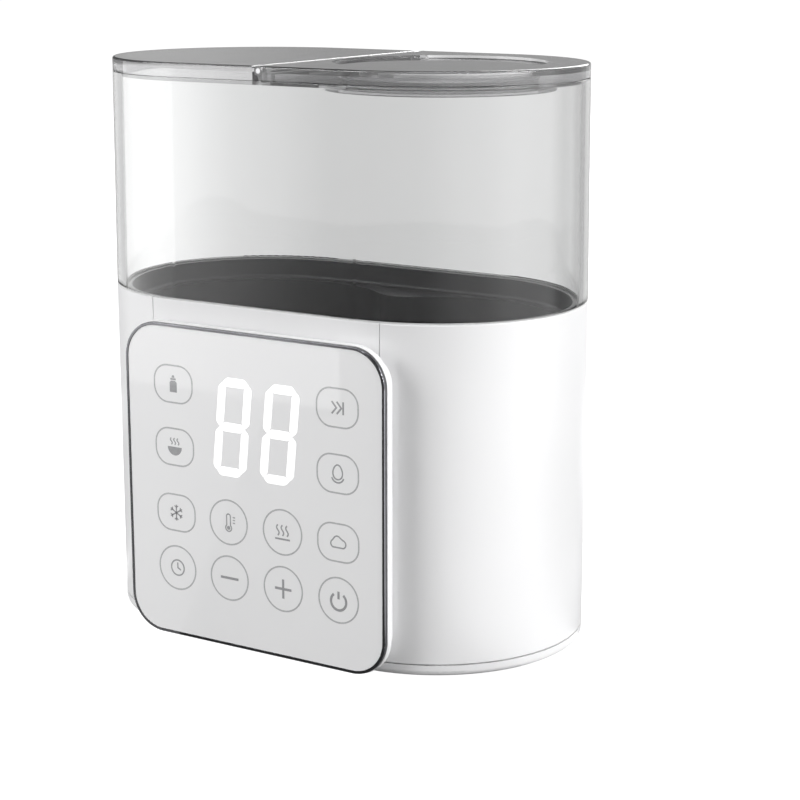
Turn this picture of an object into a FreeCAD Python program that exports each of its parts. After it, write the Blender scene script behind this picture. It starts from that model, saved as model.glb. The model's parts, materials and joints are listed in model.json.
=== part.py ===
import FreeCAD
import Part
import math
import os
from FreeCAD import Vector

# Bottle sterilizer: a stadium-shaped base with a raised control panel, a dark water tank
# with two merged round wells, a clear lift-off hood and a flip lid over its right half.
# Millimetres. Everything is drawn about the upright axis of the stadium body, then shifted
# back so that the origin is the centre of the whole footprint, on the surface it stands on.

# Overall size
WIDTH = 200.0
BODY_DEPTH = 117.5
PANEL_PROUD = 7.5
HEIGHT = 225.0
SHIFT_Y = PANEL_PROUD / 2
HALF_W = WIDTH / 2
FRONT_Y = -BODY_DEPTH / 2
BACK_Y = BODY_DEPTH / 2
END_R = BODY_DEPTH / 2
END_X = HALF_W - END_R

# Heights of the base
FOOT_H = 1.0
BOTTOM_TOP_Z = 5.3
SHELL_Z = 5.9
PARTING_Z = 134.9
GAP = 0.3

# Base shell and front piece
WALL = 2.5
RIM_W = 4.2
RIM_Z = 124.9
TONGUE_OUT = 2.0
TONGUE_IN = 3.2
TONGUE_Z = 133.2
REBATE_Z = TONGUE_Z - GAP
LIP_INSET = 6.5
LIP_T = 2.0
SHELF_Z0 = 119.9
SHELF_Z1 = 123.9
SEAM_X = 52.1
SEAM_GAP = 0.3
BOSS_R = 4.5
BOSS_RING_R = 52.5
BOSS_ANGLE = 42.0
BOSS_X = END_X + BOSS_RING_R * math.cos(math.radians(BOSS_ANGLE))
BOSS_Y = BOSS_RING_R * math.sin(math.radians(BOSS_ANGLE))
WIRE_WINDOW_W = 56.0
WIRE_WINDOW_H = 44.0
WIRE_WINDOW_Z = 58.0

# Control panel, measured from its front face inwards
PANEL_Z = 64.55
PANEL_FACE_Y = FRONT_Y - PANEL_PROUD
BEZEL_W = 119.1
BEZEL_H = 124.8
BEZEL_R = 14.6
BEZEL_LINE = 1.1
BEZEL_BACK_Y = PANEL_FACE_Y + 1.6
GLASS_SET = 0.25
SLAB_W = 119.7
SLAB_H = 125.4
SLAB_R = 14.9
SLAB_BACK_Y = BEZEL_BACK_Y + 3.05
NECK_INSET = 3.0
WEB_Y = FRONT_Y - 1.0
BOARD_BACK_Y = PANEL_FACE_Y + 5.75
BOARD_T = 1.6
BOARD_FRONT_Y = BOARD_BACK_Y - BOARD_T
PANEL_SCREW_X = 38.0
PANEL_SCREW_DZ = 50.5
KEY_X = (-36.4, -11.3, 13.8, 38.9)
KEY_Z = (29.8, 52.2, 78.6, 103.5)
DIGITS_X = 2.2
DIGITS_Z = 89.8

# Tank: two round wells joined by a rounded waist, under a shallow tray
TANK_INSET = 4.5
TANK_T = 1.4
TANK_TOP_Z = 134.6
LEDGE_Z = 126.3
WELL_R = 49.0
WAIST_R = 15.0
FLOOR_Z = 48.0
FLOOR_EDGE_R = 6.0

# Heater under the tank
HEATER_W = 150.0
HEATER_D = 80.0
HEATER_T = 4.0
HEATER_TOP_Z = FLOOR_Z - TANK_T - 0.1
HEATER_Z = HEATER_TOP_Z - HEATER_T
STUD_X = 66.0
STUD_Y = 24.0
STUD_R = 2.0
ELEMENT_R = 3.3
ELEMENT_LOOP_X = 34.0
ELEMENT_LOOP_R = 22.0
ELEMENT_Z = HEATER_Z - 0.1 - ELEMENT_R
ELEMENT_END_X = 12.0
ELEMENT_BEND_R = 6.0
ELEMENT_END_Z = 28.0

# Power board on the bottom cover
POWER_X = -10.0
POWER_Y = 4.0
POWER_W = 120.0
POWER_D = 64.0
POWER_Z = 13.0
POWER_TOP_Z = POWER_Z + BOARD_T
POWER_SCREW_DX = 55.0
POWER_SCREW_DY = 27.0

# Cord entry in the back
GLAND_X = 30.0
GLAND_Z = 22.0
GLAND_SIDE = 14.0
GLAND_EDGE_R = 3.0
GLAND_BORE_R = 3.3
GLAND_L = 8.0

# Hood and lid
HOOD_Z = PARTING_Z + GAP
HOOD_WALL = 3.2
TOP_INSET = 0.7
TOP_EDGE_R = 0.8
PLATE_Z = 219.5
LEDGE_T = 1.6
LEDGE_INSET = 4.0
LID_Z = PLATE_Z + GAP
LID_PLATE = 2.5
LID_SKIRT = 2.2
PLATEAU_X = -2.4
HINGE_Z = HEIGHT - 1.8
HINGE_R = 1.8
HINGE_PIN_R = 1.0
LUG_Y0 = 49.5
LUG_Y1 = 53.5
PIN_Y0 = 46.0
OPENING_X = 43.0
NECK_R = 38.0
COLLAR_R = 44.0
COLLAR_Z = 215.0
DISH_R = 41.0
DISH_DEPTH = 1.0
PLUG_R = 37.3
PLUG_TIP_R = 36.8
PLUG_T = 2.2
PLUG_Z = 215.6


def box(x0, x1, y0, y1, z0, z1):
    return Part.makeBox(x1 - x0, y1 - y0, z1 - z0, Vector(x0, y0, z0))


def rod(radius, x, y, z0, z1):
    """Upright cylinder."""
    return Part.makeCylinder(radius, z1 - z0, Vector(x, y, z0), Vector(0, 0, 1))


def rod_y(radius, x, z, y0, y1):
    """Cylinder lying front to back."""
    return Part.makeCylinder(radius, y1 - y0, Vector(x, y0, z), Vector(0, 1, 0))


def rod_x(radius, y, z, x0, x1):
    """Cylinder lying left to right."""
    return Part.makeCylinder(radius, x1 - x0, Vector(x0, y, z), Vector(1, 0, 0))


def compound(shapes):
    return Part.makeCompound(shapes)


def stadium_wire(inset, z, half_w=HALF_W, radius=END_R):
    """Outline with straight front and back and half-round ends, moved in by inset."""
    r = radius - inset
    cx = half_w - radius
    front = Part.LineSegment(Vector(-cx, -r, z), Vector(cx, -r, z))
    right = Part.Arc(Vector(cx, -r, z), Vector(cx + r, 0, z), Vector(cx, r, z))
    back = Part.LineSegment(Vector(cx, r, z), Vector(-cx, r, z))
    left = Part.Arc(Vector(-cx, r, z), Vector(-cx - r, 0, z), Vector(-cx, -r, z))
    return Part.Wire([e.toShape() for e in (front, right, back, left)])


def stadium(inset, z0, z1):
    face = Part.Face(stadium_wire(inset, z0))
    return face.extrude(Vector(0, 0, z1 - z0))


def tapered_stadium(inset0, z0, inset1, z1):
    return Part.makeLoft([stadium_wire(inset0, z0), stadium_wire(inset1, z1)], True, True)


def stadium_ring(inset_out, inset_in, z0, z1):
    return stadium(inset_out, z0, z1).cut(stadium(inset_in, z0 - 1, z1 + 1))


def edges_at(shape, z):
    """Edges lying flat at one height."""
    found = []
    for edge in shape.Edges:
        bounds = edge.BoundBox
        if abs(bounds.ZMin - z) < 1e-4 and abs(bounds.ZMax - z) < 1e-4:
            found.append(edge)
    return found


def twin_wells(grow, z0, z1):
    """Two round wells joined by a rounded waist, grown outwards by grow."""
    r = WELL_R + grow
    f = WAIST_R - grow
    h = math.sqrt((r + f) ** 2 - END_X ** 2)
    tx = END_X * f / (r + f)
    ty = h * r / (r + f)
    right = Part.Arc(Vector(tx, ty, z0), Vector(END_X + r, 0, z0), Vector(tx, -ty, z0))
    front = Part.Arc(Vector(tx, -ty, z0), Vector(0, f - h, z0), Vector(-tx, -ty, z0))
    left = Part.Arc(Vector(-tx, -ty, z0), Vector(-END_X - r, 0, z0), Vector(-tx, ty, z0))
    back = Part.Arc(Vector(-tx, ty, z0), Vector(0, h - f, z0), Vector(tx, ty, z0))
    wire = Part.Wire([e.toShape() for e in (right, front, left, back)])
    return Part.Face(wire).extrude(Vector(0, 0, z1 - z0))


def round_plate(width, height, radius, y0, y1, cx=0.0, cz=PANEL_Z):
    """Upright plate with four rounded corners, from y0 at the front to y1."""
    plate = box(cx - width / 2, cx + width / 2, y0, y1, cz - height / 2, cz + height / 2)
    corners = [e for e in plate.Edges if e.BoundBox.YLength > abs(y1 - y0) - 1e-6]
    return plate.makeFillet(radius, corners)


def four(x, y):
    return [(sx * x, sy * y) for sx in (-1, 1) for sy in (-1, 1)]


def seam_band(half_width, depth):
    """Front stretch of the body's wall between the two upright seams."""
    skin = stadium(-1.0, SHELL_Z - 1, PARTING_Z + 1).cut(stadium(depth, 0, HEIGHT))
    return skin.common(box(-half_width, half_width, FRONT_Y - 2, 0, 0, HEIGHT))


# Base

def rounded_body():
    """Solid body outline with its upper edge rounded."""
    body = stadium(0, SHELL_Z, PARTING_Z)
    return body.makeFillet(0.45, edges_at(body, PARTING_Z))


def base_shell():
    shell = rounded_body().cut(stadium(WALL, SHELL_Z - 1, PARTING_Z + 1))
    shell = shell.fuse(stadium_ring(WALL - 0.5, RIM_W, RIM_Z, PARTING_Z - 1))
    shell = shell.fuse(stadium_ring(WALL - 0.5, LIP_INSET, SHELF_Z0 - LIP_T, SHELF_Z0))
    for x, y in four(BOSS_X, BOSS_Y):
        shell = shell.fuse(rod(BOSS_R, x, y, BOTTOM_TOP_Z + 0.1, 40.0))
    for x, y in four(BOSS_X, BOSS_Y):
        shell = shell.cut(rod(1.4, x, y, 0, 22.0))
    shell = shell.cut(stadium_ring(TONGUE_OUT - GAP, RIM_W + 1, REBATE_Z, PARTING_Z + 1))
    shell = shell.cut(seam_band(SEAM_X + SEAM_GAP / 2, WALL + GAP))
    shell = shell.cut(round_plate(GLAND_SIDE + 0.2, GLAND_SIDE + 0.2, GLAND_EDGE_R + 0.1,
                                  BACK_Y - 6, BACK_Y + 1, GLAND_X, GLAND_Z))
    return shell.removeSplitter()


def tank_deck():
    """Shelf that carries the tank; it rests on the lip inside the shell."""
    deck = stadium(RIM_W + 0.2, SHELF_Z0, SHELF_Z1).cut(twin_wells(2.0, 0, HEIGHT))
    for side in (-1, 1):
        deck = deck.cut(rod(1.2, 0, side * 45.0, SHELF_Z0 - 1, SHELF_Z1 - 0.5))
    return deck


def front_fascia():
    fascia = seam_band(SEAM_X - SEAM_GAP / 2, WALL).common(rounded_body())
    fascia = fascia.cut(stadium(TONGUE_OUT - GAP, REBATE_Z, PARTING_Z + 1))
    half_w = WIRE_WINDOW_W / 2
    half_h = WIRE_WINDOW_H / 2
    fascia = fascia.cut(box(-half_w, half_w, FRONT_Y - 1, FRONT_Y + 4,
                            WIRE_WINDOW_Z - half_h, WIRE_WINDOW_Z + half_h))
    for x, dz in four(PANEL_SCREW_X, PANEL_SCREW_DZ):
        fascia = fascia.cut(rod_y(1.5, x, PANEL_Z + dz, FRONT_Y - 1, FRONT_Y + 4))
    return fascia


def base_plate():
    plate = stadium(0, FOOT_H, BOTTOM_TOP_Z)
    plate = plate.makeFillet(2.2, edges_at(plate, FOOT_H))
    plate = plate.cut(stadium(5.0, 3.6, BOTTOM_TOP_Z + 1))
    locating_rim = stadium_ring(WALL + GAP, WALL + GAP + 2.5, BOTTOM_TOP_Z - 1, 8.3)
    plate = plate.fuse(locating_rim)
    for x, y in four(BOSS_X, BOSS_Y):
        plate = plate.cut(rod(BOSS_R + 0.5, x, y, BOTTOM_TOP_Z, 9.0))
        plate = plate.fuse(rod(6.0, x, y, 3.0, BOTTOM_TOP_Z).common(stadium(1, 0, 9)))
    for dx, dy in four(POWER_SCREW_DX, POWER_SCREW_DY):
        plate = plate.fuse(rod(3.4, POWER_X + dx, POWER_Y + dy, 3.0, POWER_Z))
    for x, y in four(BOSS_X, BOSS_Y):
        plate = plate.cut(rod(1.7, x, y, 0, 9.0))
        plate = plate.cut(rod(3.2, x, y, 0, 2.8))
    for dx, dy in four(POWER_SCREW_DX, POWER_SCREW_DY):
        plate = plate.cut(rod(1.2, POWER_X + dx, POWER_Y + dy, 5.0, POWER_Z + 1))
    for x, y in four(58.0, 38.0):
        plate = plate.cut(rod(8.1, x, y, 0, 2.6))
    for k in range(-5, 6):
        plate = plate.cut(box(6.0 * k - 1.5, 6.0 * k + 1.5, -12.0, 12.0, 0, 4.5))
    return plate.removeSplitter()


def rubber_feet():
    feet = []
    for x, y in four(58.0, 38.0):
        foot = rod(8.0, x, y, 0, 2.6)
        feet.append(foot.makeFillet(0.5, edges_at(foot, 0)))
    return compound(feet)


def base_screws():
    screws = []
    for x, y in four(BOSS_X, BOSS_Y):
        head = rod(2.9, x, y, 1.3, 2.8)
        slot = box(x - 2.0, x + 2.0, y - 0.4, y + 0.4, 1.0, 1.9)
        screws.append(head.cut(slot).fuse(rod(1.3, x, y, 2.8, 20.0)))
    return compound(screws)


def cord_gland():
    """Rounded-square bushing that cannot turn in the back wall, with a flange inside it."""
    gland = round_plate(GLAND_SIDE, GLAND_SIDE, GLAND_EDGE_R, BACK_Y - GLAND_L, BACK_Y,
                        GLAND_X, GLAND_Z)
    flange = round_plate(GLAND_SIDE + 4, GLAND_SIDE + 4, GLAND_EDGE_R + 2,
                         BACK_Y - WALL - 2.1, BACK_Y - WALL - 0.1, GLAND_X, GLAND_Z)
    gland = gland.fuse(flange)
    return gland.cut(rod_y(GLAND_BORE_R, GLAND_X, GLAND_Z, 0, BACK_Y + 1))


# Control panel

def panel_housing():
    slab = round_plate(SLAB_W, SLAB_H, SLAB_R, BEZEL_BACK_Y, SLAB_BACK_Y)
    back = [e for e in slab.Edges if e.BoundBox.YMin > SLAB_BACK_Y - 1e-4]
    slab = slab.makeFillet(0.7, back)
    front = [e for e in slab.Edges if e.BoundBox.YMax < BEZEL_BACK_Y + 1e-4]
    slab = slab.makeFillet(0.25, front)
    neck_w = SLAB_W - 2 * NECK_INSET
    neck_h = SLAB_H - 2 * NECK_INSET
    neck_r = SLAB_R - NECK_INSET
    neck = round_plate(neck_w, neck_h, neck_r, SLAB_BACK_Y - 0.5, FRONT_Y + 4)
    housing = slab.fuse(neck.cut(stadium(-0.03, 0, HEIGHT)))
    housing = housing.cut(round_plate(107.7, 113.4, 9.0, BEZEL_BACK_Y - 1, WEB_Y))
    half_w = WIRE_WINDOW_W / 2
    half_h = WIRE_WINDOW_H / 2
    housing = housing.cut(box(-half_w, half_w, WEB_Y - 1, FRONT_Y + 4,
                              WIRE_WINDOW_Z - half_h, WIRE_WINDOW_Z + half_h))
    for x, dz in four(PANEL_SCREW_X, PANEL_SCREW_DZ):
        housing = housing.fuse(rod_y(3.0, x, PANEL_Z + dz, BEZEL_BACK_Y + 0.3, WEB_Y + 0.5))
    for x, dz in four(PANEL_SCREW_X, PANEL_SCREW_DZ):
        housing = housing.cut(rod_y(1.2, x, PANEL_Z + dz, BEZEL_BACK_Y + 1.2, FRONT_Y + 1))
    return housing.removeSplitter()


def panel_bezel():
    outer = round_plate(BEZEL_W, BEZEL_H, BEZEL_R, PANEL_FACE_Y, BEZEL_BACK_Y)
    front = [e for e in outer.Edges if e.BoundBox.YMax < PANEL_FACE_Y + 1e-4]
    outer = outer.makeFillet(0.4, front)
    inner = round_plate(BEZEL_W - 2 * BEZEL_LINE, BEZEL_H - 2 * BEZEL_LINE,
                        BEZEL_R - BEZEL_LINE, PANEL_FACE_Y - 1, BEZEL_BACK_Y + 1)
    return outer.cut(inner)


def panel_glass():
    inset = BEZEL_LINE + 0.1
    return round_plate(BEZEL_W - 2 * inset, BEZEL_H - 2 * inset, BEZEL_R - inset,
                       PANEL_FACE_Y + GLASS_SET, BEZEL_BACK_Y - 0.05)


def display_board():
    board = round_plate(104.0, 110.0, 7.0, BOARD_FRONT_Y, BOARD_BACK_Y)
    for x, dz in four(PANEL_SCREW_X, PANEL_SCREW_DZ):
        board = board.cut(rod_y(3.3, x, PANEL_Z + dz, BOARD_FRONT_Y - 1, BOARD_BACK_Y + 1))
    return board


def led_module():
    """Two-digit display block with one shallow window for each digit."""
    block = round_plate(46.0, 46.0, 1.5, BEZEL_BACK_Y + 0.1, BOARD_FRONT_Y,
                        DIGITS_X, DIGITS_Z)
    for side in (-1, 1):
        block = block.cut(round_plate(19.0, 42.0, 1.0, BEZEL_BACK_Y, BEZEL_BACK_Y + 0.5,
                                      DIGITS_X + side * 11.0, DIGITS_Z))
    return block


def touch_pads():
    """Conductive pads between the board and the glass, one under each key."""
    keys = [(x, z) for x in (KEY_X[0], KEY_X[3]) for z in KEY_Z]
    keys += [(x, z) for x in (KEY_X[1], KEY_X[2]) for z in KEY_Z[:2]]
    return compound([rod_y(5.0, x, z, BEZEL_BACK_Y + 0.05, BOARD_FRONT_Y) for x, z in keys])


def fascia_screws():
    screws = []
    for x, dz in four(PANEL_SCREW_X, PANEL_SCREW_DZ):
        head = rod_y(2.6, x, PANEL_Z + dz, FRONT_Y + WALL, FRONT_Y + WALL + 1.6)
        shank = rod_y(1.1, x, PANEL_Z + dz, BEZEL_BACK_Y + 1.5, FRONT_Y + WALL)
        screws.append(head.fuse(shank))
    return compound(screws)


def buzzer():
    body = rod_y(6.0, -16.0, 56.0, BOARD_BACK_Y, BOARD_BACK_Y + 5.5)
    return body.cut(rod_y(1.0, -16.0, 56.0, BOARD_BACK_Y + 3, BOARD_BACK_Y + 6))


def display_cable():
    """Flat ribbon from the display board down to the power board."""
    top = box(-6, 6, BOARD_BACK_Y, -48.0, 61.0, 62.0)
    drop = box(-6, 6, -49.0, -48.0, 24.0, 62.0)
    foot = box(-6, 6, -49.0, -24.0, 24.0, 25.0)
    end = box(-6, 6, -25.0, -24.0, POWER_TOP_Z, 25.0)
    return top.fuse([drop, foot, end]).removeSplitter()


# Tank and heater

def tank():
    outer_well = twin_wells(TANK_T, FLOOR_Z - TANK_T, RIM_Z)
    bottom = edges_at(outer_well, FLOOR_Z - TANK_T)
    outer_well = outer_well.makeFillet(FLOOR_EDGE_R + TANK_T, bottom)
    inner_well = twin_wells(0, FLOOR_Z, TANK_TOP_Z)
    inner_well = inner_well.makeFillet(FLOOR_EDGE_R, edges_at(inner_well, FLOOR_Z))
    tray = stadium(TANK_INSET + TANK_T, LEDGE_Z, TANK_TOP_Z + 1)
    tray = tray.makeFillet(1.5, edges_at(tray, LEDGE_Z))
    body = stadium(TANK_INSET, RIM_Z, TANK_TOP_Z).fuse(outer_well)
    return body.cut(tray).cut(inner_well).removeSplitter()


def tank_gasket():
    return stadium(TANK_INSET + 0.1, SHELF_Z1, RIM_Z).cut(twin_wells(1.9, 0, HEIGHT))


def tank_clamps():
    """Angle brackets welded to the tank's waist; their feet are screwed up to the shelf."""
    clamps = []
    for side in (-1, 1):
        leg = box(-5, 5, 35.0, 37.6, 100.0, SHELF_Z0 - 0.1)
        foot = box(-5, 5, 35.0, 50.0, SHELF_Z0 - 1.3, SHELF_Z0 - 0.1)
        clamp = leg.fuse(foot).cut(twin_wells(TANK_T + 0.05, 90, HEIGHT))
        clamp = clamp.cut(rod(1.5, 0, 45.0, 110, 130)).removeSplitter()
        if side < 0:
            clamp.rotate(Vector(0, 0, 0), Vector(0, 0, 1), 180)
        clamps.append(clamp)
    return compound(clamps)


def clamp_screws():
    screws = []
    for side in (-1, 1):
        head = rod(2.6, 0, side * 45.0, SHELF_Z0 - 3.0, SHELF_Z0 - 1.3)
        screws.append(head.fuse(rod(1.1, 0, side * 45.0, SHELF_Z0 - 1.3, SHELF_Z1 - 0.8)))
    return compound(screws)


def heater_studs():
    """Studs welded under the tank's floor."""
    return compound([rod(STUD_R, x, y, 38.0, FLOOR_Z - TANK_T) for x, y in four(STUD_X, STUD_Y)])


def heater_plate():
    wire = stadium_wire(0, HEATER_Z, HEATER_W / 2, HEATER_D / 2)
    plate = Part.Face(wire).extrude(Vector(0, 0, HEATER_T))
    for x, y in four(STUD_X, STUD_Y):
        plate = plate.cut(rod(STUD_R + 0.2, x, y, 0, HEIGHT))
    return plate


def heating_element():
    """Tube bent into a racetrack under the plate, its two ends turned down at the back."""
    z = ELEMENT_Z
    r = ELEMENT_LOOP_R
    bend = ELEMENT_BEND_R
    turn = bend * (1 - math.cos(math.pi / 4))
    left_x = -ELEMENT_LOOP_X
    pieces = []
    for side in (-1, 1):
        x = side * ELEMENT_END_X
        pieces.append([
            Part.LineSegment(Vector(x, r, ELEMENT_END_Z), Vector(x, r, z - bend)),
            Part.Arc(Vector(x, r, z - bend), Vector(x + side * turn, r, z - turn),
                     Vector(x + side * bend, r, z)),
            Part.LineSegment(Vector(x + side * bend, r, z), Vector(-side * left_x, r, z))])
    left_turn = Part.Arc(Vector(left_x, r, z), Vector(left_x - r, 0, z), Vector(left_x, -r, z))
    front = Part.LineSegment(Vector(left_x, -r, z), Vector(-left_x, -r, z))
    right_turn = Part.Arc(Vector(-left_x, -r, z), Vector(r - left_x, 0, z),
                          Vector(-left_x, r, z))
    path = pieces[0] + [left_turn, front, right_turn] + pieces[1][::-1]
    wire = Part.Wire(Part.__sortEdges__([e.toShape() for e in path]))
    circle = Part.Circle(Vector(-ELEMENT_END_X, r, ELEMENT_END_Z), Vector(0, 0, 1), ELEMENT_R)
    return wire.makePipeShell([Part.Wire(circle.toShape())], True, True)


def element_terminals():
    """Ceramic collar and spade tab on each cold end of the tube."""
    tabs = []
    for side in (-1, 1):
        x = side * ELEMENT_END_X
        collar = rod(ELEMENT_R - 0.5, x, ELEMENT_LOOP_R, ELEMENT_END_Z - 3, ELEMENT_END_Z)
        tab = box(x - 2.4, x + 2.4, ELEMENT_LOOP_R - 0.4, ELEMENT_LOOP_R + 0.4,
                  ELEMENT_END_Z - 9, ELEMENT_END_Z - 3)
        tabs.append(collar.fuse(tab))
    return compound(tabs)


def heater_nuts():
    nuts = []
    for x, y in four(STUD_X, STUD_Y):
        corners = []
        for k in range(7):
            turn = math.radians(60 * k)
            corners.append(Vector(x + 4.0 * math.cos(turn), y + 4.0 * math.sin(turn),
                                  HEATER_Z - 3.2))
        nut = Part.Face(Part.makePolygon(corners)).extrude(Vector(0, 0, 3.2))
        nuts.append(nut.cut(rod(STUD_R + 0.1, x, y, 0, HEIGHT)))
    return compound(nuts)


def thermostat():
    """Snap-disc cut-out on the middle of the heater plate."""
    body = rod(8.0, 0, 0, HEATER_Z - 4.1, HEATER_Z - 0.1)
    body = body.fuse(rod(6.5, 0, 0, HEATER_Z - 10.0, HEATER_Z - 4.1))
    for side in (-1, 1):
        tab = box(side * 4 - 0.4, side * 4 + 0.4, -3, 3, HEATER_Z - 15.0, HEATER_Z - 9.5)
        body = body.fuse(tab)
    return body


def thermistor():
    """Bead sensor with a round flange, clipped to the right of the cut-out."""
    body = rod(5.0, 28.0, 0, HEATER_Z - 1.3, HEATER_Z - 0.1)
    return body.fuse(rod(3.0, 28.0, 0, HEATER_Z - 9.0, HEATER_Z - 1.3))


def thermal_fuse():
    body = rod_x(2.0, 0, HEATER_Z - 2.2, -35.0, -21.0)
    return body.fuse(rod_x(0.6, 0, HEATER_Z - 2.2, -41.0, -15.0))


# Power board

def power_board():
    board = box(POWER_X - POWER_W / 2, POWER_X + POWER_W / 2,
                POWER_Y - POWER_D / 2, POWER_Y + POWER_D / 2, POWER_Z, POWER_TOP_Z)
    for dx, dy in four(POWER_SCREW_DX, POWER_SCREW_DY):
        board = board.cut(rod(1.5, POWER_X + dx, POWER_Y + dy, 0, HEIGHT))
    return board


def board_screws():
    screws = []
    for dx, dy in four(POWER_SCREW_DX, POWER_SCREW_DY):
        x = POWER_X + dx
        y = POWER_Y + dy
        head = rod(2.7, x, y, POWER_TOP_Z, POWER_TOP_Z + 1.6)
        screws.append(head.fuse(rod(1.1, x, y, 5.5, POWER_TOP_Z)))
    return compound(screws)


def transformer():
    core = box(-58.0, -34.0, 6.0, 26.0, POWER_TOP_Z, POWER_TOP_Z + 17.0)
    return core.fuse(box(-55.0, -37.0, 3.0, 29.0, POWER_TOP_Z, POWER_TOP_Z + 12.0))


def relay():
    body = box(-58.0, -39.0, -20.0, -4.5, POWER_TOP_Z, POWER_TOP_Z + 15.6)
    uprights = [e for e in body.Edges if e.BoundBox.ZLength > 10]
    return body.makeFillet(0.8, uprights)


def capacitors():
    cans = []
    for x in (-26.0, 22.0, 34.0):
        can = rod(5.0, x, -10.0, POWER_TOP_Z, POWER_TOP_Z + 14.0)
        cans.append(can.makeFillet(0.8, edges_at(can, POWER_TOP_Z + 14.0)))
    return compound(cans)


def terminal_block():
    """Two-way screw terminal for the mains leads."""
    block = box(22.0, 40.0, 22.0, 32.0, POWER_TOP_Z, POWER_TOP_Z + 11.0)
    for x in (26.5, 35.5):
        block = block.cut(rod(2.2, x, 27.0, POWER_TOP_Z + 7.0, POWER_TOP_Z + 12.0))
        block = block.cut(box(x - 2.5, x + 2.5, 30.0, 33.0,
                              POWER_TOP_Z + 1.5, POWER_TOP_Z + 5.5))
    return block


def mains_fuse():
    """Tube fuse in two end clips."""
    tube = rod_x(2.6, -14.0, POWER_TOP_Z + 4.0, -16.0, 4.0)
    for x in (-15.0, 0.0):
        tube = tube.fuse(box(x, x + 3.0, -17.4, -10.6, POWER_TOP_Z, POWER_TOP_Z + 4.0))
    return tube


def heater_wires():
    """Two leads from the element's tabs down to the power board."""
    wires = []
    for side in (-1, 1):
        x = side * ELEMENT_END_X
        y = ELEMENT_LOOP_R + 2.0
        points = [Vector(x, y, ELEMENT_END_Z - 5), Vector(x + side * 2.5, y + 2.0, 18.8),
                  Vector(x + side * 5.0, y + 4.0, POWER_TOP_Z)]
        curve = Part.BSplineCurve()
        curve.interpolate(Points=points, InitialTangent=Vector(0, 0, -1),
                          FinalTangent=Vector(0, 0, -1))
        circle = Part.Circle(points[0], Vector(0, 0, 1), 1.1)
        path = Part.Wire(curve.toShape())
        wires.append(path.makePipeShell([Part.Wire(circle.toShape())], True, True))
    return compound(wires)


# Hood and lid

def hood_sleeve():
    outer = tapered_stadium(0, HOOD_Z, TOP_INSET, PLATE_Z)
    outer = outer.makeFillet(0.3, edges_at(outer, HOOD_Z) + edges_at(outer, PLATE_Z))
    inner = tapered_stadium(HOOD_WALL, HOOD_Z, HOOD_WALL + TOP_INSET, PLATE_Z)
    tongue = stadium_ring(TONGUE_OUT, TONGUE_IN, TONGUE_Z, HOOD_Z)
    return outer.cut(inner).fuse(tongue).removeSplitter()


def top_slab(z0):
    """Full top plate with a rounded upper edge; the plateau and the lid are cut from it."""
    slab = stadium(TOP_INSET, z0, HEIGHT)
    return slab.makeFillet(TOP_EDGE_R, edges_at(slab, HEIGHT))


def plateau():
    """Left half of the top, its hinge-side edge rounded so that the lid can swing past."""
    r = 1.0
    x = PLATEAU_X
    bend = r * (1 - math.cos(math.pi / 4))
    low = PLATE_Z - 1
    outline = [Part.LineSegment(Vector(-HALF_W, -80, low), Vector(x, -80, low)),
               Part.LineSegment(Vector(x, -80, low), Vector(x, -80, HEIGHT - r)),
               Part.Arc(Vector(x, -80, HEIGHT - r), Vector(x - bend, -80, HEIGHT - bend),
                        Vector(x - r, -80, HEIGHT)),
               Part.LineSegment(Vector(x - r, -80, HEIGHT), Vector(-HALF_W, -80, HEIGHT)),
               Part.LineSegment(Vector(-HALF_W, -80, HEIGHT), Vector(-HALF_W, -80, low))]
    face = Part.Face(Part.Wire([e.toShape() for e in outline]))
    return top_slab(PLATE_Z).common(face.extrude(Vector(0, 160, 0)))


def hood_top():
    top = stadium(LEDGE_INSET, PLATE_Z - LEDGE_T, PLATE_Z).fuse(plateau())
    hollow = stadium(LEDGE_INSET + 2.0, PLATE_Z - LEDGE_T - 1, HEIGHT - LID_PLATE)
    top = top.cut(hollow.common(box(-HALF_W, PLATEAU_X - 2.5, -80, 80, 0, HEIGHT)))
    steps = ((COLLAR_R, PLATE_Z - 1.6), (COLLAR_R - 0.7, PLATE_Z - 3.2),
             (COLLAR_R, COLLAR_Z))
    upper_z = PLATE_Z
    for radius, z in steps:
        top = top.fuse(rod(radius, OPENING_X, 0, z, upper_z))
        upper_z = z
    top = top.cut(rod(NECK_R, OPENING_X, 0, 0, HEIGHT))
    for side in (-1, 1):
        y0 = min(side * LUG_Y0, side * LUG_Y1)
        y1 = max(side * LUG_Y0, side * LUG_Y1)
        lug = rod_y(HINGE_R, 0, HINGE_Z, y0, y1)
        lug = lug.fuse(box(-HINGE_R, HINGE_R, y0, y1, PLATE_Z - 0.5, HINGE_Z))
        top = top.fuse(lug.cut(rod_y(HINGE_PIN_R + 0.05, 0, HINGE_Z, y0 - 1, y1 + 1)))
    return top.removeSplitter()


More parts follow.
